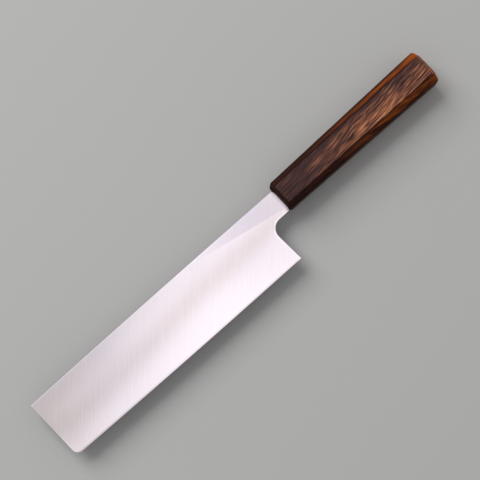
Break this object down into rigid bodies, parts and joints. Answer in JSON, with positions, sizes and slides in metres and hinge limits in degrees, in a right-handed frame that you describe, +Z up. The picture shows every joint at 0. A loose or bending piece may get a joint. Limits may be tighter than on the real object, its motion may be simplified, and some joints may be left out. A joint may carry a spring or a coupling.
{
  "type": "usuba knife",
  "caption": "Tall straight-edged vegetable knife with a square tip, a hollow-ground back and a wide single bevel, its tang bonded into an octagonal wooden handle.",
  "frame": {"origin": "middle of the footprint, on the surface that the knife lies on", "axes": "+X along the knife from the tip to the butt, +Y from the cutting edge to the spine, +Z up out of the hollow back of the blade"},
  "size_m": [0.322, 0.049, 0.0192],
  "materials": {
    "edge_steel": "fine satin",
    "soft_iron": "hazy satin",
    "lacquered_wood": "burnt, brushed and lacquered, low gloss",
    "bond_resin": "cured, matte"
  },
  "bodies": {
    "root": {"edge_steel_layer": "edge_steel", "iron_blade_body": "soft_iron", "octagonal_handle": "lacquered_wood", "tang_bond": "bond_resin"}
  },
  "joints": []
}
